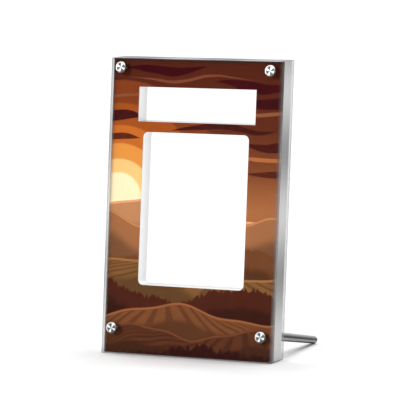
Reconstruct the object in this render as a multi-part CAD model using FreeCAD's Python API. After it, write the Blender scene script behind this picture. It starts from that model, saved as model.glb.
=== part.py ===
"""Trading card display case: a leaning stack of clear and printed sheets round a thick metal frame.

Millimetres, +Z up, the front towards -Y. The origin is the centre of the case's level base.
The stack leans back, and its ends and windows are cut level, so it stands flat on its base
and on the tips of two turned legs at the back.
"""
import FreeCAD, Part
import math
import os

from FreeCAD import Vector

os.makedirs("parts", exist_ok=True)

# Outline of the stack, its height measured up the sloping front
WIDTH = 109.5
SLOPE_HEIGHT = 176.0
LEAN_DEG = 5.3
CORNER_EASE = 0.5

# Sheets, from front to back
FRONT_COVER_THICK = 3.7
ART_THICK = 0.4
FRAME_THICK = 11.4
REAR_COVER_THICK = 3.7
COVER_EDGE_EASE = 0.3
FRAME_EDGE_EASE = 0.4

# Windows through the art sheet and the frame, one under the other from the top
LABEL_WINDOW_FROM_TOP = 17.15
LABEL_WINDOW_WIDTH = 75.6
LABEL_WINDOW_HEIGHT = 20.5
WINDOW_BAR = 6.1
CARD_WINDOW_WIDTH = 68.3
CARD_WINDOW_HEIGHT = 90.5
CARD_WINDOW_CORNER = 3.2

# Corner screws: from the sides, down from the top edge and up from the bottom edge
SCREW_FROM_SIDE = 6.75
SCREW_FROM_TOP = 5.75
SCREW_FROM_BOTTOM = 15.25
CAP_RADIUS = 3.5
CAP_THICK = 1.0
CAP_BEVEL = 0.35
THREAD_RADIUS = 1.5
THREAD_CLEARANCE = 0.05
THREAD_TIP_CHAMFER = 0.3
THREAD_END_GAP = 1.2
SCREW_HOLE_CLEARANCE = 0.15

# Soft washers under the caps
WASHER_RADIUS = 3.1
WASHER_THICK = 0.3

# Threaded sleeves pressed through the frame
SLEEVE_RADIUS = 2.5
SLEEVE_FIT_GAP = 0.02

# Turned legs: tapered rods that reach the table
LEG_LENGTH = 65.5
LEG_ROOT_RADIUS = 2.75
LEG_TIP_RADIUS = 2.3
LEG_TIP_BEVEL = 0.8
LEG_ROOT_OVERRUN = 1.0

# Depths behind the front face, square to it
LEAN = math.radians(LEAN_DEG)
ART_FRONT = FRONT_COVER_THICK
FRAME_FRONT = ART_FRONT + ART_THICK
FRAME_BACK = FRAME_FRONT + FRAME_THICK
STACK_BACK = FRAME_BACK + REAR_COVER_THICK

# Level sizes
TOP_HEIGHT = SLOPE_HEIGHT * math.cos(LEAN)
BASE_DEPTH = STACK_BACK / math.cos(LEAN)
LABEL_WINDOW_BOTTOM = TOP_HEIGHT - LABEL_WINDOW_FROM_TOP - LABEL_WINDOW_HEIGHT
CARD_WINDOW_BOTTOM = LABEL_WINDOW_BOTTOM - WINDOW_BAR - CARD_WINDOW_HEIGHT

# Directions: up the slope, and into the stack square to its front
UP_SLOPE = Vector(0, math.sin(LEAN), math.cos(LEAN))
INWARD = Vector(0, math.cos(LEAN), -math.sin(LEAN))
OUTWARD = INWARD * -1
FRONT_EDGE = Vector(0, -BASE_DEPTH / 2, 0)

# Screw places, in the front face
SCREW_X = WIDTH / 2 - SCREW_FROM_SIDE
SIDES = (-1, 1)
THREAD_REACH = (FRAME_THICK - THREAD_END_GAP) / 2
SHANK_RADIUS = THREAD_RADIUS - THREAD_CLEARANCE
HOLE_RADIUS = THREAD_RADIUS + SCREW_HOLE_CLEARANCE


def stack_point(across, up, depth):
    """A point by its distance across, up the slope and into the stack from the front face."""
    return FRONT_EDGE + Vector(across, 0, 0) + UP_SLOPE * up + INWARD * depth


def leaning_prism(front_depth, back_depth, half_width, bottom, top):
    """Level-ended slab between two depths of the stack."""
    def corner(depth, height):
        start = FRONT_EDGE.y + depth / math.cos(LEAN)
        return Vector(-half_width, start + height * math.tan(LEAN), height)

    outline = [corner(front_depth, bottom), corner(back_depth, bottom),
               corner(back_depth, top), corner(front_depth, top)]
    face = Part.Face(Part.makePolygon(outline + outline[:1]))
    return face.extrude(Vector(2 * half_width, 0, 0))


def edges_along(shape, direction, at_x=None):
    """Straight edges that run along a direction, all of them or those at one place across."""
    chosen = []
    for edge in shape.Edges:
        ends = edge.Vertexes
        run = ends[-1].Point - ends[0].Point
        parallel = run.Length > 0 and run.cross(direction).Length < 1e-6 * run.Length
        placed = at_x is None or abs(abs(ends[0].Point.x) - at_x) < 1e-6
        if parallel and placed:
            chosen.append(edge)
    return chosen


def sheet(front_depth, back_depth):
    """One full sheet of the stack, its four corners slightly bevelled."""
    slab = leaning_prism(front_depth, back_depth, WIDTH / 2, 0, TOP_HEIGHT)
    level_corners = edges_along(slab, Vector(0, 1, 0), WIDTH / 2)
    return slab.makeChamfer(CORNER_EASE, level_corners)


def ease_face_edges(shape, depth, size):
    """Chamfers the rim of the sheet face that lies at a depth."""
    def on_face(edge):
        return all(abs((v.Point - FRONT_EDGE).dot(INWARD) - depth) < 1e-6 for v in edge.Vertexes)

    return shape.makeChamfer(size, [edge for edge in shape.Edges if on_face(edge)])


def window_cutter(width, height, bottom):
    """Level block, long enough to pass through the whole stack."""
    reach = BASE_DEPTH + TOP_HEIGHT * math.tan(LEAN)
    return Part.makeBox(width, 2 * reach, height, Vector(-width / 2, -reach, bottom))


def cut_windows(shape):
    """Cuts the square-cornered label window and the round-cornered card window."""
    label = window_cutter(LABEL_WINDOW_WIDTH, LABEL_WINDOW_HEIGHT, LABEL_WINDOW_BOTTOM)
    card = window_cutter(CARD_WINDOW_WIDTH, CARD_WINDOW_HEIGHT, CARD_WINDOW_BOTTOM)
    card = card.makeFillet(CARD_WINDOW_CORNER, edges_along(card, Vector(0, 1, 0)))
    return shape.cut(label).cut(card)


def screw_places(rows):
    """Each screw's place across and up the slope, for the named rows."""
    heights = {"low": SCREW_FROM_BOTTOM, "top": SLOPE_HEIGHT - SCREW_FROM_TOP}
    return [(side * SCREW_X, heights[row]) for row in rows for side in SIDES]


def cut_screw_holes(shape, radius, front_depth, back_depth):
    """Drills the four corner holes square through one sheet."""
    margin = 1.0
    length = back_depth - front_depth + 2 * margin
    for across, up in screw_places(("low", "top")):
        start = stack_point(across, up, front_depth - margin)
        shape = shape.cut(Part.makeCylinder(radius, length, start, INWARD))
    return shape


def turned(profile, place, direction):
    """Solid turned from (radius, length) points, its axis laid along a direction."""
    points = [Vector(radius, 0, length) for radius, length in profile]
    face = Part.Face(Part.makePolygon(points + points[:1]))
    solid = face.revolve(Vector(0, 0, 0), Vector(0, 0, 1), 360)
    solid.Placement = FreeCAD.Placement(place, FreeCAD.Rotation(Vector(0, 0, 1), direction))
    return solid


def save(name, solids):
    """Writes one node, as a single solid or a group of separate ones."""
    shape = solids[0] if len(solids) == 1 else Part.makeCompound(solids)
    shape.exportStep(f"parts/{name}.step")


def front_cover():
    """Clear sheet over the print, its front edges eased."""
    cover = ease_face_edges(sheet(0, ART_FRONT), 0, COVER_EDGE_EASE)
    return cut_screw_holes(cover, HOLE_RADIUS, 0, ART_FRONT)


def art_print():
    """Printed sheet with a window for the card and one for its label."""
    art = cut_windows(sheet(ART_FRONT, FRAME_FRONT))
    return cut_screw_holes(art, HOLE_RADIUS, ART_FRONT, FRAME_FRONT)


def window_frame():
    """Thick frame, cut through by both windows, with seats for the threaded sleeves."""
    frame = sheet(FRAME_FRONT, FRAME_BACK)
    frame = ease_face_edges(frame, FRAME_FRONT, FRAME_EDGE_EASE)
    frame = ease_face_edges(frame, FRAME_BACK, FRAME_EDGE_EASE)
    return cut_screw_holes(cut_windows(frame), SLEEVE_RADIUS + SLEEVE_FIT_GAP, FRAME_FRONT, FRAME_BACK)


def rear_cover():
    """Clear sheet that closes the frame's back, its back edges eased."""
    cover = ease_face_edges(sheet(FRAME_BACK, STACK_BACK), STACK_BACK, COVER_EDGE_EASE)
    return cut_screw_holes(cover, HOLE_RADIUS, FRAME_BACK, STACK_BACK)


def sleeve(across, up):
    """Threaded sleeve that takes a screw from each end."""
    profile = [(THREAD_RADIUS, 0), (SLEEVE_RADIUS, 0), (SLEEVE_RADIUS, FRAME_THICK), (THREAD_RADIUS, FRAME_THICK)]
    return turned(profile, stack_point(across, up, FRAME_FRONT), INWARD)


def shank_profile(length):
    """Outline of a screw's shank from its root to its chamfered end."""
    return [(SHANK_RADIUS, 0), (SHANK_RADIUS, length - THREAD_TIP_CHAMFER),
            (SHANK_RADIUS - THREAD_TIP_CHAMFER, length), (0, length)]


def cap_screw(seat, direction, length):
    """Screw with a bevelled round cap, its shank laid along a direction from the cap's seat."""
    cap = [(0, -CAP_THICK), (CAP_RADIUS - CAP_BEVEL, -CAP_THICK),
           (CAP_RADIUS, CAP_BEVEL - CAP_THICK), (CAP_RADIUS, 0)]
    return turned(cap + shank_profile(length), seat, direction)


def washer(seat, direction):
    """Flat ring that lies on a cover, towards the outside."""
    profile = [(HOLE_RADIUS, 0), (WASHER_RADIUS, 0), (WASHER_RADIUS, WASHER_THICK), (HOLE_RADIUS, WASHER_THICK)]
    return turned(profile, seat, direction)


def leg(across):
    """Tapered leg: its stud goes square into the sleeve, and its rod dips until its bevelled
    tip touches the table."""
    root = stack_point(across, SCREW_FROM_BOTTOM, STACK_BACK)
    touch = Vector(LEG_TIP_RADIUS, 0, LEG_LENGTH - LEG_TIP_BEVEL)
    dip = math.asin(root.z / touch.Length) - math.atan2(touch.x, touch.z)
    along = Vector(0, math.cos(dip), -math.sin(dip))
    profile = [(0, -LEG_ROOT_OVERRUN), (LEG_ROOT_RADIUS, -LEG_ROOT_OVERRUN), (LEG_ROOT_RADIUS, 0),
               (LEG_TIP_RADIUS, touch.z), (LEG_TIP_RADIUS - LEG_TIP_BEVEL, LEG_LENGTH), (0, LEG_LENGTH)]
    stack = leaning_prism(0, STACK_BACK, WIDTH / 2, -SCREW_FROM_BOTTOM, TOP_HEIGHT)
    rod = turned(profile, root, along).cut(stack)

    stud_length = REAR_COVER_THICK + THREAD_REACH
    stud = turned([(0, 0)] + shank_profile(stud_length), root, OUTWARD)
    return rod.fuse(stud).removeSplitter()


save("front_cover", [front_cover()])
save("art_print", [art_print()])
save("window_frame", [window_frame()])
save("rear_cover", [rear_cover()])
save("threaded_sleeves", [sleeve(across, up) for across, up in screw_places(("low", "top"))])

FRONT_SHANK = WASHER_THICK + FRONT_COVER_THICK + ART_THICK + THREAD_REACH
REAR_SHANK = WASHER_THICK + REAR_COVER_THICK + THREAD_REACH
save("front_cap_screws", [cap_screw(stack_point(across, up, -WASHER_THICK), INWARD, FRONT_SHANK)
                          for across, up in screw_places(("low", "top"))])
save("front_washers", [washer(stack_point(across, up, 0), OUTWARD)
                       for across, up in screw_places(("low", "top"))])
save("rear_cap_screws", [cap_screw(stack_point(across, up, STACK_BACK + WASHER_THICK), OUTWARD, REAR_SHANK)
                         for across, up in screw_places(("top",))])
save("rear_washers", [washer(stack_point(across, up, STACK_BACK), INWARD)
                      for across, up in screw_places(("top",))])
save("left_leg", [leg(-SCREW_X)])
save("right_leg", [leg(SCREW_X)])
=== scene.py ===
import math

import bmesh
import bpy
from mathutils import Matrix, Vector


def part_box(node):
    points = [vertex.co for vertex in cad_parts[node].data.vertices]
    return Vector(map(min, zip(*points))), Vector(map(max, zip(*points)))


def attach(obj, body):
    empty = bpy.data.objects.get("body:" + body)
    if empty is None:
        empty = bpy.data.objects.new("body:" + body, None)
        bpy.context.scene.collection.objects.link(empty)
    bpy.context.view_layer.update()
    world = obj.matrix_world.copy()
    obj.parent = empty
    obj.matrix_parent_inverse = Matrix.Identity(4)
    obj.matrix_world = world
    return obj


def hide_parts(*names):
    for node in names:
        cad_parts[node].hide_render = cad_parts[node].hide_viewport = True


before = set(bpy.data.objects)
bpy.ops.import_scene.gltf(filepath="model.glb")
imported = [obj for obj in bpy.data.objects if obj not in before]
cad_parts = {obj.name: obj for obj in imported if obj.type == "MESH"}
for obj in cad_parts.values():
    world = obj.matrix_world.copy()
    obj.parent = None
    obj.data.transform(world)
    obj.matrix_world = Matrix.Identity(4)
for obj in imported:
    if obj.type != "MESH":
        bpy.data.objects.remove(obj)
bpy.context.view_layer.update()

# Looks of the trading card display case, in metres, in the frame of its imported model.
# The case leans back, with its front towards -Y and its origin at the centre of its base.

MM = 0.001

# Stack of the case, as it was modelled
LEAN = math.radians(5.3)
COVER_THICK = 3.7 * MM
ART_THICK = 0.4 * MM
FRAME_THICK = 11.4 * MM
STACK_THICK = 2 * COVER_THICK + ART_THICK + FRAME_THICK
SLOPE_HEIGHT = 176 * MM
BASE_FRONT = -STACK_THICK / math.cos(LEAN) / 2
LEVEL_TOP = SLOPE_HEIGHT * math.cos(LEAN)
HALF_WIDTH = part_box("art_print")[1].x

# Air between each clear cover and the sheet that it meets, so that their faces don't share a place
OPTICAL_GAP = 0.03 * MM

# Screws in the four corners
SCREW_FROM_TOP = 5.75 * MM
SCREW_FROM_BOTTOM = 15.25 * MM
CAP_RADIUS = 3.5 * MM
CAP_THICK = 1.0 * MM
CAP_BEVEL = 0.35 * MM
CAP_FACE_RADIUS = CAP_RADIUS - CAP_BEVEL
CAP_RING_PITCH = 0.22 * MM
CAP_RING_DEPTH = 0.012 * MM
CAP_FOOT_BEVEL = 0.1 * MM
CAP_SEGMENTS = 72
SHANK_RADIUS = 1.25 * MM
THREAD_PITCH = 0.5 * MM
THREAD_RIDGE = 0.17 * MM
THREAD_START = 0.5 * MM
THREAD_TIP_CHAMFER = 0.3 * MM
WASHER_THICK = 0.3 * MM
SLEEVE_REACH = 5.1 * MM
SCREW_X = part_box("front_cap_screws")[1].x - CAP_RADIUS
LOWER_ROW = SCREW_FROM_BOTTOM
UPPER_ROW = SLOPE_HEIGHT - SCREW_FROM_TOP

# Legs
LEG_LENGTH = 65.5 * MM
LEG_ROOT_RADIUS = 2.75 * MM
LEG_TIP_RADIUS = 2.3 * MM
LEG_TIP_BEVEL = 0.8 * MM

# Meshes: points nearer than the weld are one, and edges over the sharp angle aren't smoothed
WELD = 0.001 * MM
ON_FACE = 0.01 * MM
SHARP_ANGLE = math.radians(25)

UP_SLOPE = Vector((0, math.sin(LEAN), math.cos(LEAN)))
INWARD = Vector((0, math.cos(LEAN), -math.sin(LEAN)))


def stack_point(across, up, depth):
    """A point by its distance across, up the slope and into the stack from the front face."""
    return Vector((across, BASE_FRONT, 0)) + UP_SLOPE * up + INWARD * depth


def new_object(name, data):
    """A new object in the scene."""
    made = bpy.data.objects.new(name, data)
    bpy.context.scene.collection.objects.link(made)
    return made


# Node trees

# Places of a Mix node's factor, its two colours and its colour output among its sockets
MIX_SHARE, MIX_UNDER, MIX_COLOUR, MIX_OUT = 0, 6, 7, 2


def linear(*levels):
    """Linear colour from red, green and blue levels of 0 to 255."""
    def channel(level):
        share = level / 255
        return share / 12.92 if share <= 0.04045 else ((share + 0.055) / 1.055) ** 2.4

    return (*[channel(level) for level in levels], 1.0)


def grey(level):
    return linear(level, level, level)


class Wire:
    """An output of a node, which joins other values by Python's operators."""

    def __init__(self, bench, socket):
        self.bench, self.socket = bench, socket

    def out(self, name):
        """Another output of the same node."""
        return Wire(self.bench, self.socket.node.outputs[name])

    def maths(self, operation, *values, clamp=False):
        sockets = dict(enumerate((self, *values)))
        return self.bench.node("ShaderNodeMath", {"operation": operation, "use_clamp": clamp}, sockets)

    def __add__(self, other):
        return self.maths("ADD", other)

    __radd__ = __add__

    def __sub__(self, other):
        return self.maths("SUBTRACT", other)

    def __rsub__(self, other):
        return (-self) + other

    def __mul__(self, other):
        return self.maths("MULTIPLY", other)

    __rmul__ = __mul__

    def __truediv__(self, other):
        return self.maths("DIVIDE", other)

    def __neg__(self):
        return self.maths("MULTIPLY", -1.0)

    def sine(self):
        return self.maths("SINE")

    def cosine(self):
        return self.maths("COSINE")

    def size(self):
        return self.maths("ABSOLUTE")

    def larger(self, other):
        return self.maths("MAXIMUM", other)

    def clamped(self):
        return self.maths("ADD", 0.0, clamp=True)

    def rise(self, start, end):
        """Goes smoothly from 0 at the start to 1 at the end."""
        sockets = {"Value": self, "From Min": start, "From Max": end}
        return self.bench.node("ShaderNodeMapRange", {"interpolation_type": "SMOOTHSTEP"}, sockets)

    def over(self, edge, soft):
        """1 where the value is over an edge, which another value may give, with a soft step."""
        return (self - edge).rise(-soft / 2, soft / 2)

    def between(self, low, high, soft):
        return self.over(low, soft) * (1 - self.over(high, soft))

    def paint(self, under, colour):
        """Lays a colour over another, by this mask."""
        settings = {"data_type": "RGBA", "clamp_factor": True}
        sockets = {MIX_SHARE: self, MIX_UNDER: under, MIX_COLOUR: colour}
        return self.bench.node("ShaderNodeMix", settings, sockets, MIX_OUT)


def distance(x, y):
    """Distance from the place where both values are 0."""
    return (x * x + y * y).maths("SQRT")


class Bench:
    """Makes the nodes of one tree."""

    def __init__(self, tree):
        self.tree = tree
        tree.nodes.clear()

    def node(self, kind, settings=None, sockets=None, out=0):
        """A new node, its settings first and then its sockets' values or links; gives one output."""
        made = self.tree.nodes.new(kind)
        for name, value in (settings or {}).items():
            if name == "stops":
                set_stops(made.color_ramp, value)
            else:
                setattr(made, name, value)
        for name, value in (sockets or {}).items():
            if isinstance(value, Wire):
                self.tree.links.new(value.socket, made.inputs[name])
            else:
                made.inputs[name].default_value = value
        return Wire(self, made.outputs[out]) if made.outputs else None


def set_stops(ramp, stops):
    """Gives a colour ramp its stops, each a place and a colour."""
    while len(ramp.elements) < len(stops):
        ramp.elements.new(0.5)
    for element, (place, colour) in zip(ramp.elements, stops):
        element.position = place
        element.color = colour


class Finish(Bench):
    """Makes one material of the case, its patterns on object coordinates in millimetres."""

    def __init__(self, name):
        self.material = bpy.data.materials.new(name)
        self.material.use_nodes = True
        super().__init__(self.material.node_tree)

    def place(self, origin=(0, 0, 0), turn=(0, 0, 0)):
        """Place on the piece in millimetres, from an origin and turned about it."""
        at = self.node("ShaderNodeTexCoord", out="Object")
        moved = self.node("ShaderNodeVectorMath", {"operation": "SUBTRACT"}, {0: at, 1: origin})
        sockets = {"Vector": moved, "Rotation": turn, "Scale": (1 / MM,) * 3}
        return self.node("ShaderNodeMapping", {"vector_type": "POINT"}, sockets)

    def tilted_place(self):
        """Place on the leaning stack: across, depth behind the front face and height up the slope."""
        return self.place((0, BASE_FRONT, 0), (LEAN, 0, 0))

    def axes(self, vector):
        """X, Y and Z of a vector."""
        parts = self.node("ShaderNodeSeparateXYZ", sockets={"Vector": vector})
        return parts, parts.out("Y"), parts.out("Z")

    def table_height(self):
        """Height over the table in millimetres."""
        return self.axes(self.place())[2]

    def grain(self, vector, stretch=(1, 1, 1), scale=1.0, detail=3.0, rough=0.5):
        """Noise from 0 to 1, drawn out along the axes that have a small stretch."""
        sockets = {"Vector": vector, "Scale": stretch}
        drawn = self.node("ShaderNodeMapping", {"vector_type": "POINT"}, sockets)
        sockets = {"Vector": drawn, "Scale": scale, "Detail": detail, "Roughness": rough}
        return self.node("ShaderNodeTexNoise", sockets=sockets)

    def flat(self):
        """The faces' own direction, for sheets whose flat faces meet at sharp edges."""
        return self.node("ShaderNodeNewGeometry", out="True Normal")

    def bump(self, height, depth, strength=1.0, on=None):
        """Relief of a depth in metres, on another normal where one is given."""
        sockets = {"Height": height, "Distance": depth, "Strength": strength}
        if on is not None:
            sockets["Normal"] = on
        return self.node("ShaderNodeBump", sockets=sockets)

    def principled(self, colour, sockets):
        return self.node("ShaderNodeBsdfPrincipled", sockets={"Base Color": colour, **sockets})

    def blend(self, share, under, shader):
        """Mixes two shaders by the share of the second."""
        return self.node("ShaderNodeMixShader", sockets={0: share, 1: under, 2: shader})

    def finish(self, shader):
        self.node("ShaderNodeOutputMaterial", sockets={"Surface": shader})
        return self.material


# Materials, their patterns placed in millimetres

# Painted reflection bands up the sides and along the top: where one is lightest, and from one to the next
SIDE_REFLECTIONS = (15, 72)
TOP_REFLECTIONS = (-11, 55)


def reflection_wave(along, lightest, length):
    """Soft broad bands of painted reflection along a brushed face's length, from 0 to 1."""
    return ((along - lightest) * (2 * math.pi / length)).cosine() * 0.5 + 0.5


def brushed_frame():
    """Silver frame, brushed along its edges, with satin walls in its windows and duller sawn ends."""
    finish = Finish("brushed_frame")
    place = finish.tilted_place()
    across, depth, up = finish.axes(place)
    front, thick = (COVER_THICK + ART_THICK) / MM, FRAME_THICK / MM
    back = front + thick

    # Streaks up the sides, stronger towards the foot
    lines = finish.grain(place, (0.03, 3.2, 0.012), detail=4, rough=0.65)
    fine = finish.grain(place, (0.05, 11.0, 0.02), detail=2)
    strength = 1.5 - up.rise(8, 50) * 0.6
    streaks = ((lines - 0.5) * 0.7 + (fine - 0.5) * 0.4) * strength
    # Painted reflection bands up the sides, with the streaks in them
    tone = reflection_wave(up, *SIDE_REFLECTIONS) * 0.84 + 0.08 + streaks
    metal = tone.clamped().paint(grey(135), grey(205))

    # Walls of the windows: all between the frame's faces that is well inside its outline
    face_margin, wall_reach, wall_foot, wall_top = 0.05, 40, 36, 164
    inside = depth.between(front + face_margin, back - face_margin, face_margin)
    middle = 1 - across.size().over(wall_reach, 1)
    window = middle * up.between(wall_foot, wall_top, 1) * inside
    # Painted reflection bands along the walls' depth, with streaks in them
    wall_tone = reflection_wave(depth, front, 2 * thick) * 0.7 + lines * 0.3
    walls = wall_tone.clamped().paint(grey(226), grey(252))
    # Painted shade: faces that look up, the sills, are darker, most of all towards the back
    sill = finish.axes(finish.flat())[2].over(0.8, 0.4)
    walls = sill.paint(walls, depth.rise(front, back).paint(grey(208), grey(189)))
    colour = window.paint(metal, walls)

    rough = 0.26 + fine * 0.16 + window * 0.2
    scratches = finish.bump(lines * 0.6 + fine * 0.4, 0.02 * MM, 0.6, finish.flat())
    sockets = {"Metallic": 1.0, "Roughness": rough, "Normal": scratches, "Specular Tint": grey(228)}
    brushed = finish.principled(colour, sockets)

    # Level ends at the top and the foot
    end_margin = 0.2
    ends = 1 - finish.table_height().between(end_margin, LEVEL_TOP / MM - end_margin, 0.1)
    # Painted reflection bands along the level ends, with the streaks in them
    end_tone = reflection_wave(across, *TOP_REFLECTIONS) + streaks
    end_colour = end_tone.clamped().paint(grey(96), grey(150))
    sawn = finish.principled(end_colour, {"Roughness": rough + 0.3, "IOR": 1.1, "Normal": scratches})
    return finish.finish(finish.blend(ends * 0.85, brushed, sawn))


def clear_acrylic():
    """Clear sheet that only its polished edges and a faint gloss give away."""
    finish = Finish("clear_acrylic")
    place = finish.tilted_place()
    across, depth, up = finish.axes(place)
    half, top = HALF_WIDTH / MM, LEVEL_TOP / MM
    sideways, level = across.size(), finish.table_height()
    # Painted reflection bands up the cut edges, as on the frame's sides
    bands = reflection_wave(up, *SIDE_REFLECTIONS)
    saw = finish.grain(place, (0.3, 0.8, 0.02), detail=2)
    smear = finish.grain(place, (0.03, 0.03, 0.03), detail=2)

    # Strips beside the cut edges that count as edge
    side_strip, foot_strip, top_strip, soft = 0.5, 0.3, 0.35, 0.1
    side = sideways.over(half - side_strip, soft)
    foot = 1 - level.over(foot_strip, soft)
    head = level.over(top - top_strip, soft)

    # Painted reflection: the polished ends mirror the inside, most of all along the top
    near = sideways.rise(half - 1.8, half - 0.4) * 0.22
    under = level.rise(top - 1.9, top - 0.5) * 0.2
    inner_reflection = near.larger(under)
    # The cut edges are partly opaque, with the painted reflection bands in them
    cut = side.larger(foot * 0.8) * (0.5 - bands * 0.12 + saw * 0.06)
    alpha = cut.larger(inner_reflection).larger(head * 0.9) + 0.003 + smear * 0.004

    # Painted reflection on the front cover's edge, lightest beside the print and darkest towards the top
    edge_reflection = depth.rise(1.4, COVER_THICK / MM).paint(bands.paint(grey(92), grey(130)), grey(182))
    edge_reflection = (up.rise(110, 165) * 0.85).paint(edge_reflection, grey(60))
    # The rear cover's edge has a lighter painted reflection
    rear = depth.over(STACK_THICK / MM / 2, 1)
    edge = rear.paint(edge_reflection, grey(166))
    # Painted reflection bands on the top edge
    top_edge = reflection_wave(across, *TOP_REFLECTIONS).paint(grey(104), grey(156))
    colour = head.paint(edge, top_edge)

    flat = finish.flat()
    sockets = {"Roughness": 0.08 + smear * 0.05, "Alpha": alpha, "IOR": 1.1, "Normal": flat}
    body = finish.principled(colour, sockets)
    sockets = {"Color": grey(255), "Roughness": 0.03, "Normal": flat}
    shine = finish.node("ShaderNodeBsdfGlossy", sockets=sockets)
    slant = finish.node("ShaderNodeLayerWeight", sockets={"Blend": 0.5, "Normal": flat}, out="Facing")
    return finish.finish(finish.blend(slant.maths("POWER", 6.0) * 0.4, body, shine))


def sun_rings(colour, across, up, drift):
    """Lays a low sun over the sky, with rings of light round it, the widest first."""
    sun_x, sun_up = -49.0, 93.0
    far = distance(across - sun_x, up - sun_up) + drift * 1.5
    # Each ring's radius and colour
    rings = [(70, (128, 60, 28)), (56, (160, 78, 30)), (43, (196, 104, 40)),
             (32, (226, 146, 66)), (23, (250, 198, 124)), (15, (255, 236, 190))]
    for radius, tint in rings:
        colour = (1 - far.over(radius, 1.4)).paint(colour, linear(*tint))
    return colour


def long_clouds(colour, across, up, drift):
    """Lays long clouds over the sky, each pointed at both ends."""
    # Each cloud's height, half its thickness, its middle, its reach to each side and its colour
    clouds = [
        (170, 2.6, -20, 26, (58, 10, 16)), (164.5, 0.8, -4, 40, (122, 66, 44)),
        (161, 3.0, 38, 26, (62, 14, 18)), (152, 3.2, 52, 26, (60, 14, 18)),
        (146, 1.0, 46, 22, (140, 84, 54)), (135.3, 2.0, 18, 34, (64, 22, 18)),
        (127, 2.8, 54, 24, (70, 22, 18)), (119, 1.4, 46, 18, (176, 104, 56)),
        (110, 2.2, 56, 24, (84, 34, 22)), (128, 2.2, -52, 16, (92, 38, 22)),
        (141, 3.4, -54, 20, (66, 20, 18)), (152, 1.0, -48, 20, (136, 78, 48))]
    swing = (across * 0.11).sine() * 1.2
    for height, half, middle, reach, tint in clouds:
        share = (across - middle) / reach
        taper = 1 - share * share
        off_line = (up + drift * 9 - height - swing).size()
        colour = (taper * half - off_line).rise(-0.25, 0.25).paint(colour, linear(*tint))
    return colour


def hills_and_fields(colour, across, up, drift):
    """Lays hills over the sky, some of them wooded and some with rows of a crop, the nearest last."""
    # Each hill's height, swell, pace and turn, half a tree's width or 0, the rows' middle or 0, and colour
    hills = [
        (88, 9, 0.045, 2.4, 0, 0, (190, 132, 90)), (76, 8, 0.062, 5.0, 0, 0, (160, 104, 66)),
        (64, 6, 0.055, 0.6, 1.1, 0, (112, 66, 38)), (52, 6, 0.05, 3.4, 0, 18, (128, 86, 48)),
        (39, 5, 0.071, 5.6, 2.0, 0, (74, 32, 20)), (27, 4.5, 0.06, 2.2, 0, -16, (122, 72, 42)),
        (15, 3.5, 0.085, 4.4, 0, 34, (92, 50, 30)), (5, 3.5, 0.05, 1.0, 2.6, 0, (52, 20, 15))]
    # Height over a hill's crest at which its rows would meet
    rows_meet = 9
    for height, swell, pace, turn, half_tree, rows, tint in hills:
        wave = (across * pace + turn).sine() * swell
        ripple = (across * (pace * 2.7) + turn).sine() * (swell / 4)
        crest = wave + ripple + height
        if half_tree:
            crown = (across + (across * 0.9).sine() * 0.9).maths("PINGPONG", half_tree)
            crest = crest - crown * (1.4 + (across * 0.37 + turn).sine() * 0.5)
        below = crest - up
        colour = below.over(0, 0.3).paint(colour, linear(*tint))
        lit = [min(255, part * 1.2 + 5) for part in tint]
        shade = [part * 0.74 for part in tint]
        if rows:
            spread = (across - rows) / (below + rows_meet)
            furrow = (spread * rows_meet).sine().over(0.35, 0.5) * below.over(1.6, 0.6)
            colour = (furrow * 0.75).paint(colour, linear(*shade))
        if not half_tree:
            colour = below.between(0.2, 1.3, 0.3).paint(colour, linear(*lit))
        colour = (below + drift * 8).over(swell + 6, swell).paint(colour, linear(*shade))
    return colour


def printed_sheet():
    """Generic print in browns and ambers: a low sun at the left, long clouds, wooded hills and fields."""
    finish = Finish("printed_sheet")
    place = finish.tilted_place()
    across, _, up = finish.axes(place)
    drift = finish.grain(place, (0.02, 0.02, 0.045), detail=2) - 0.5

    # Sky, from the foot of the sheet to its top
    sky = [(0.0, (150, 96, 60)), (0.5, (168, 104, 62)), (0.62, (128, 70, 40)),
           (0.78, (94, 42, 24)), (1.0, (80, 34, 22))]
    stops = [(share, linear(*tint)) for share, tint in sky]
    colour = finish.node("ShaderNodeValToRGB", {"stops": stops}, {"Fac": up / (SLOPE_HEIGHT / MM)})
    for motif in (sun_rings, long_clouds, hills_and_fields):
        colour = motif(colour, across, up, drift)

    # The ink lies a little unevenly
    speckle = finish.grain(place, scale=3.5, detail=2) * 0.06
    mottle = finish.grain(place, scale=0.12, detail=3) * 0.1
    sockets = {"Color": colour, "Fac": 1.0, "Value": 0.92 + speckle + mottle}
    printed = finish.node("ShaderNodeHueSaturation", sockets=sockets)
    sockets = {"Roughness": 0.5 + speckle, "IOR": 1.05, "Normal": finish.flat()}
    return finish.finish(finish.principled(printed, sockets))


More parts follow.
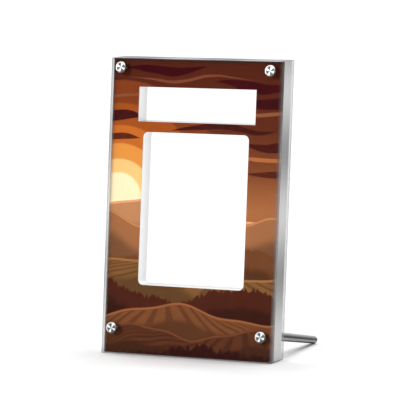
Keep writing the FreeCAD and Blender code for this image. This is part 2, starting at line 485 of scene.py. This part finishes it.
def spun_chrome():
    """Turned cap: four soft dark sectors of painted reflection, fine rings and painted shade on its lower
    edge.
    """
    finish = Finish("spun_chrome")
    local = finish.node("ShaderNodeAttribute", {"attribute_name": "turned_place"}, out="Vector")
    x, y, z = finish.axes(local)
    far = distance(x, y)
    face_depth = 0.3
    face = z.over(CAP_THICK / MM - face_depth, 0.1)
    face_radius = CAP_FACE_RADIUS / MM
    rings = (far * (2 * math.pi * MM / CAP_RING_PITCH)).sine() * 0.5 + 0.5

    # Painted reflection sectors, which fade at the centre and towards the rim
    count, first = 4, math.radians(22)
    wobble = finish.grain(finish.place(), scale=0.9, detail=1) - 0.5
    angle = y.maths("ARCTAN2", x)
    sectors = (angle * count - first * count + wobble * 1.4).cosine() * 0.5 + 0.5
    reach = far.rise(0.0, 0.9) * (1 - far.rise(2.5, face_radius) * 0.8)
    dark = sectors.rise(-0.15, 0.7) * reach * (0.88 + rings * 0.12) * face
    colour = dark.paint(grey(240), grey(66))

    # Painted reflection: a dull centre, and a light rim as a painted highlight
    centre = 1 - far.rise(0.0, 1.0)
    colour = (centre * face * 0.8).paint(colour, grey(140))
    rim = far.rise(2.8, face_radius)
    colour = (rim * 0.5).paint(colour, grey(206))

    # Painted shade on the lower right edge and the side, turned away from the light
    slope = math.radians(-55)
    away = x * math.cos(slope) + y * math.sin(slope)
    turned = (far + away * 0.3).rise(2.95, 3.35)
    colour = turned.paint(colour, grey(72))
    side = (1 - face) * z.over(0.0, 0.2)
    colour = side.paint(colour, away.rise(-2, 1.8).paint(grey(128), grey(84)))

    sockets = {"Metallic": 1.0, "Roughness": 0.16 + rings * 0.12, "Specular Tint": grey(190),
               "Normal": finish.bump(rings, 0.006 * MM, 0.5)}
    return finish.finish(finish.principled(colour, sockets))


def clear_nylon():
    """Milky washer with a faint mottle."""
    finish = Finish("clear_nylon")
    mottle = finish.grain(finish.place(), scale=1.2, detail=2)
    colour = mottle.paint(grey(150), grey(205))
    sockets = {"Roughness": 0.35 + mottle * 0.15, "Alpha": 0.55 + mottle * 0.1}
    return finish.finish(finish.principled(colour, sockets))


def turned_brass():
    """Bare brass with turning lines across its length."""
    finish = Finish("turned_brass")
    lines = finish.grain(finish.tilted_place(), (0.2, 9.0, 0.2), detail=3)
    colour = lines.paint(linear(176, 128, 58), linear(226, 184, 104))
    sockets = {"Metallic": 1.0, "Roughness": 0.28 + lines * 0.14,
               "Normal": finish.bump(lines, 0.01 * MM, 0.5)}
    return finish.finish(finish.principled(colour, sockets))


def leg_dip():
    """Angle by which a leg dips so that its tip's bevel meets the table, and its root's place."""
    root = stack_point(SCREW_X, SCREW_FROM_BOTTOM, STACK_THICK)
    bevel_start = LEG_LENGTH - LEG_TIP_BEVEL
    touch = math.hypot(LEG_TIP_RADIUS, bevel_start)
    dip = math.asin(root.z / touch) - math.atan2(LEG_TIP_RADIUS, bevel_start)
    return dip, root


def leg_steel():
    """Polished rod with long soft bands of painted reflection round it and fine turning lines across it."""
    finish = Finish("leg_steel")
    dip, root = leg_dip()
    place = finish.place((0, root.y, root.z), (dip, 0, 0))
    _, along, above = finish.axes(place)
    taper = (LEG_ROOT_RADIUS - LEG_TIP_RADIUS) / LEG_LENGTH

    # Painted reflection bands from the rod's lower side to its upper side
    share = above / (LEG_ROOT_RADIUS / MM - along * taper)
    bands = [(0.0, 96), (0.1, 112), (0.22, 190), (0.36, 172), (0.46, 70),
             (0.62, 60), (0.76, 160), (0.9, 214), (1.0, 190)]
    stops = [(height, grey(level)) for height, level in bands]
    reflection_band = finish.node("ShaderNodeValToRGB", {"stops": stops}, {"Fac": share * 0.5 + 0.5})
    lines = finish.grain(place, (0.3, 7.0, 0.3), detail=3)
    streaks = finish.grain(place, (2.2, 0.04, 2.2), detail=2)
    colour = ((lines * 0.5 + streaks * 0.5) * 0.16).paint(reflection_band, grey(205))

    # Painted highlight: a light ring near the tip
    ring_from_tip, ring_width = 6.1, 0.6
    ring_start = LEG_LENGTH / MM - ring_from_tip
    ring = along.between(ring_start, ring_start + ring_width, 0.2)
    colour = (ring * 0.7).paint(colour, grey(190))
    sockets = {"Metallic": 1.0, "Roughness": 0.24 + lines * 0.12, "Specular Tint": grey(176),
               "Normal": finish.bump(lines, 0.01 * MM, 0.4)}
    return finish.finish(finish.principled(colour, sockets))


def dress(names, material):
    """Gives CAD nodes a material in each of their slots."""
    for name in names:
        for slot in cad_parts[name].material_slots:
            slot.material = material


dress(["art_print"], printed_sheet())
dress(["window_frame"], brushed_frame())
dress(["front_washers", "rear_washers"], clear_nylon())
dress(["threaded_sleeves"], turned_brass())
dress(["left_leg", "right_leg"], leg_steel())


# Clear covers

def smooth_outward(mesh):
    """Turns the faces of closed shells towards the outside and smooths all but the sharp edges."""
    shell = bmesh.new()
    shell.from_mesh(mesh)
    bmesh.ops.recalc_face_normals(shell, faces=shell.faces)
    shell.to_mesh(mesh)
    shell.free()
    mesh.shade_smooth()
    mesh.set_sharp_from_angle(angle=SHARP_ANGLE)


def clear_cover(name, node, contact, shift, material):
    """A clear cover of the CAD node's form, its face that meets the next sheet a hair away from it."""
    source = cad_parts[node]
    shell = bmesh.new()
    shell.from_mesh(source.data)
    shell.transform(source.matrix_world)
    bmesh.ops.remove_doubles(shell, verts=shell.verts, dist=WELD)
    for vertex in shell.verts:
        if abs((vertex.co - stack_point(0, 0, contact)).dot(INWARD)) < ON_FACE:
            vertex.co += INWARD * shift
    mesh = bpy.data.meshes.new(name)
    shell.to_mesh(mesh)
    shell.free()
    source_normals = mesh.attributes.get("custom_normal")
    if source_normals is not None:
        mesh.attributes.remove(source_normals)
    mesh.materials.append(material)
    for face in mesh.polygons:
        face.material_index = 0
    smooth_outward(mesh)
    piece = new_object(name, mesh)
    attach(piece, "root")
    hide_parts(node)


acrylic = clear_acrylic()
clear_cover("clear_front", "front_cover", COVER_THICK, -OPTICAL_GAP, acrylic)
clear_cover("clear_rear", "rear_cover", STACK_THICK - COVER_THICK, OPTICAL_GAP, acrylic)


# Cap screws

def screw_tree():
    """Turns a profile about Z, winds a thread on its shank and sets a copy at each point."""
    tree = bpy.data.node_groups.new("turned_screws", "GeometryNodeTree")
    kinds = {"Points": "Geometry", "Profile": "Object", "Segments": "Int", "Ring Radius": "Float",
             "Thread Radius": "Float", "Thread Ridge": "Float", "Thread Pitch": "Float",
             "Thread Length": "Float", "Thread Start": "Float", "Turn": "Vector", "Material": "Material"}
    for name, kind in kinds.items():
        tree.interface.new_socket(name, in_out="INPUT", socket_type=f"NodeSocket{kind}")
    tree.interface.new_socket("Screws", in_out="OUTPUT", socket_type="NodeSocketGeometry")
    bench = Bench(tree)
    given = bench.node("NodeGroupInput")

    # The profile is swept round a ring of the cap's radius
    profile = bench.node("GeometryNodeObjectInfo", sockets={"Object": given.out("Profile")}, out="Geometry")
    profile = bench.node("GeometryNodeMeshToCurve", sockets={"Mesh": profile})
    sockets = {"Resolution": given.out("Segments"), "Radius": given.out("Ring Radius")}
    ring = bench.node("GeometryNodeCurvePrimitiveCircle", sockets=sockets)
    body = bench.node("GeometryNodeCurveToMesh", sockets={"Curve": ring, "Profile Curve": profile})
    body = bench.node("GeometryNodeMergeByDistance", sockets={"Geometry": body, "Distance": WELD})

    # A three-sided ridge is swept along a spiral down the shank
    turn_steps, ridge_sides = 20, 3
    length, radius = given.out("Thread Length"), given.out("Thread Radius")
    sockets = {"Resolution": turn_steps, "Rotations": length / given.out("Thread Pitch"),
               "Start Radius": radius, "End Radius": radius, "Height": length}
    spiral = bench.node("GeometryNodeCurveSpiral", sockets=sockets)
    sockets = {"Resolution": ridge_sides, "Radius": given.out("Thread Ridge")}
    ridge = bench.node("GeometryNodeCurvePrimitiveCircle", sockets=sockets)
    sockets = {"Curve": spiral, "Profile Curve": ridge, "Fill Caps": True}
    thread = bench.node("GeometryNodeCurveToMesh", sockets=sockets)
    down = bench.node("ShaderNodeCombineXYZ", sockets={"Z": -(length + given.out("Thread Start"))})
    thread = bench.node("GeometryNodeTransform", sockets={"Geometry": thread, "Translation": down})

    # The place on one screw is stored for the material before the copies are set and turned
    whole = bench.node("GeometryNodeJoinGeometry")
    for part in (body, thread):
        bench.tree.links.new(part.socket, whole.socket.node.inputs[0])
    at = bench.node("GeometryNodeInputPosition")
    at = bench.node("ShaderNodeVectorMath", {"operation": "SCALE"}, {"Vector": at, "Scale": 1 / MM})
    sockets = {"Geometry": whole, "Name": "turned_place", "Value": at}
    whole = bench.node("GeometryNodeStoreNamedAttribute", {"data_type": "FLOAT_VECTOR"}, sockets)
    sockets = {"Points": given.out("Points"), "Instance": whole, "Rotation": given.out("Turn")}
    copies = bench.node("GeometryNodeInstanceOnPoints", sockets=sockets)
    copies = bench.node("GeometryNodeRealizeInstances", sockets={"Geometry": copies})
    sockets = {"Geometry": copies, "Material": given.out("Material")}
    copies = bench.node("GeometryNodeSetMaterial", sockets=sockets)
    bench.node("NodeGroupOutput", sockets={"Screws": copies})
    return tree


def line_object(name, points, joined):
    """A plain object of points, joined one after the other or left loose."""
    edges = [(n, n + 1) for n in range(len(points) - 1)] if joined else []
    mesh = bpy.data.meshes.new(name)
    mesh.from_pydata(points, edges, [])
    return new_object(name, mesh)


def cap_profile(shank_length):
    """Radius and height of a cap screw's outline: a finely ringed face, a bevel and the shank."""
    steps = 2 * int(CAP_FACE_RADIUS / CAP_RING_PITCH)
    face = [(CAP_FACE_RADIUS * n / steps, CAP_THICK - CAP_RING_DEPTH * (n % 2)) for n in range(steps + 1)]
    shoulder = CAP_BEVEL * 0.3
    rim = [(CAP_RADIUS - shoulder, CAP_THICK - shoulder), (CAP_RADIUS, CAP_THICK - CAP_BEVEL),
           (CAP_RADIUS, CAP_FOOT_BEVEL), (CAP_RADIUS - CAP_FOOT_BEVEL, 0), (SHANK_RADIUS, 0)]
    tip = [(SHANK_RADIUS, THREAD_TIP_CHAMFER - shank_length),
           (SHANK_RADIUS - THREAD_TIP_CHAMFER, -shank_length), (0, -shank_length)]
    return face + rim + tip


def corner_points(rows, depth):
    """A point at each side of each row, the rows by their height up the slope."""
    return [stack_point(side * SCREW_X, up, depth) for up in rows for side in (-1, 1)]


def cap_screws(name, node, seats, turn, grip, tree, material):
    """Detailed screws in place of a CAD node, one at each seat."""
    shank_length = WASHER_THICK + grip + SLEEVE_REACH
    outline = [(radius - CAP_RADIUS, -height, 0) for radius, height in cap_profile(shank_length)]
    profile = line_object(f"{name}_profile", outline, joined=True)
    piece = line_object(name, seats, joined=False)
    values = {"Profile": profile, "Segments": CAP_SEGMENTS, "Ring Radius": CAP_RADIUS,
              "Thread Radius": SHANK_RADIUS, "Thread Ridge": THREAD_RIDGE, "Thread Pitch": THREAD_PITCH,
              "Thread Length": shank_length - THREAD_START - THREAD_TIP_CHAMFER,
              "Thread Start": THREAD_START, "Turn": (turn, 0.0, 0.0), "Material": material}
    modifier = piece.modifiers.new("turned_screws", "NODES")
    modifier.node_group = tree
    for socket in tree.interface.items_tree:
        if socket.name in values:
            modifier[socket.identifier] = values[socket.name]
    evaluated = piece.evaluated_get(bpy.context.evaluated_depsgraph_get())
    piece.data = bpy.data.meshes.new_from_object(evaluated)
    piece.modifiers.clear()
    bpy.data.objects.remove(profile)
    smooth_outward(piece.data)
    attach(piece, "root")
    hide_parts(node)


screws, chrome = screw_tree(), spun_chrome()
cap_screws("front_caps", "front_cap_screws", corner_points((LOWER_ROW, UPPER_ROW), -WASHER_THICK),
           math.pi / 2 - LEAN, COVER_THICK + ART_THICK, screws, chrome)
cap_screws("rear_caps", "rear_cap_screws", corner_points((UPPER_ROW,), STACK_THICK + WASHER_THICK),
           -math.pi / 2 - LEAN, COVER_THICK, screws, chrome)


# Floor, light and camera

# Strength of the floor's own light, and of the white world's light on the case
FLOOR_LIFT = 0.02
SOFT_LIGHT = 0.3

# Each light's name, the place it comes from, its spread in degrees and its strength
LIGHTS = [
    ("front", (-0.45, -1.3, 0.5), 10, 1.75),
    ("overhead_left", (-0.52, 0.33, 1.4), 28, 1.4),
    ("overhead_right", (0.38, 0.33, 1.4), 28, 1.28),
    ("behind", (-0.12, 1.0, 1.0), 30, 0.6)]


def shown_rays(bench):
    """1 for rays from the camera, off gloss or through clear pieces, and 0 for those off matte faces."""
    seen = bench.node("ShaderNodeLightPath", out="Is Camera Ray")
    return seen.larger(seen.out("Is Glossy Ray")).larger(seen.out("Is Transmission Ray"))


def studio_floor():
    """Pale floor that keeps the case's shadow and goes over into a white background."""
    reach = 6.0
    corners = [(-reach, -reach, 0), (reach, -reach, 0), (reach, reach, 0), (-reach, reach, 0)]
    mesh = bpy.data.meshes.new("floor")
    mesh.from_pydata(corners, [], [(0, 1, 2, 3)])
    floor = new_object("floor", mesh)
    finish = Finish("studio_floor")
    speckle = finish.grain(finish.place(), scale=0.05, detail=2)
    colour = speckle.paint(grey(228), grey(232))
    matte = finish.principled(colour, {"Roughness": 0.9, "IOR": 1.05})
    sockets = {"Color": grey(255), "Strength": shown_rays(finish) * FLOOR_LIFT}
    glow = finish.node("ShaderNodeEmission", sockets=sockets)
    both = finish.node("ShaderNodeAddShader", sockets={0: matte, 1: glow})
    mesh.materials.append(finish.finish(both))


def studio_world():
    """White background for what is seen or mirrored, and a softer level of light on the case."""
    world = bpy.data.worlds.new("studio")
    bpy.context.scene.world = world
    world.use_nodes = True
    bench = Bench(world.node_tree)
    strength = shown_rays(bench) * (1 - SOFT_LIGHT) + SOFT_LIGHT
    sky = bench.node("ShaderNodeBackground", sockets={"Color": (1, 1, 1, 1), "Strength": strength})
    bench.node("ShaderNodeOutputWorld", sockets={"Surface": sky})


def soft_light(name, source, spread_deg, strength):
    """An even, soft light over the whole floor, from a direction given as a place it comes from."""
    data = bpy.data.lights.new(name, "SUN")
    data.angle = math.radians(spread_deg)
    data.energy = strength
    light = new_object(name, data)
    light.rotation_euler = (-Vector(source)).to_track_quat("-Z", "Y").to_euler()


def photo_camera():
    """Camera at the photograph's place, level and without shift."""
    sensor, far_limit = 36.0, 30
    focal_pixels, picture_pixels = 2838.7, 416
    turn, drop = math.radians(23.886), math.radians(6.059)
    data = bpy.data.cameras.new("camera")
    data.sensor_width = sensor
    data.lens = focal_pixels / picture_pixels * sensor
    data.clip_end = far_limit
    camera = new_object("camera", data)
    camera.location = (681.3 * MM, -1514.35 * MM, 264.35 * MM)
    camera.rotation_euler = (math.pi / 2 - drop, 0, turn)
    bpy.context.scene.camera = camera


studio_floor()
studio_world()
for light in LIGHTS:
    soft_light(*light)
photo_camera()
bpy.context.scene.view_settings.view_transform = "Standard"
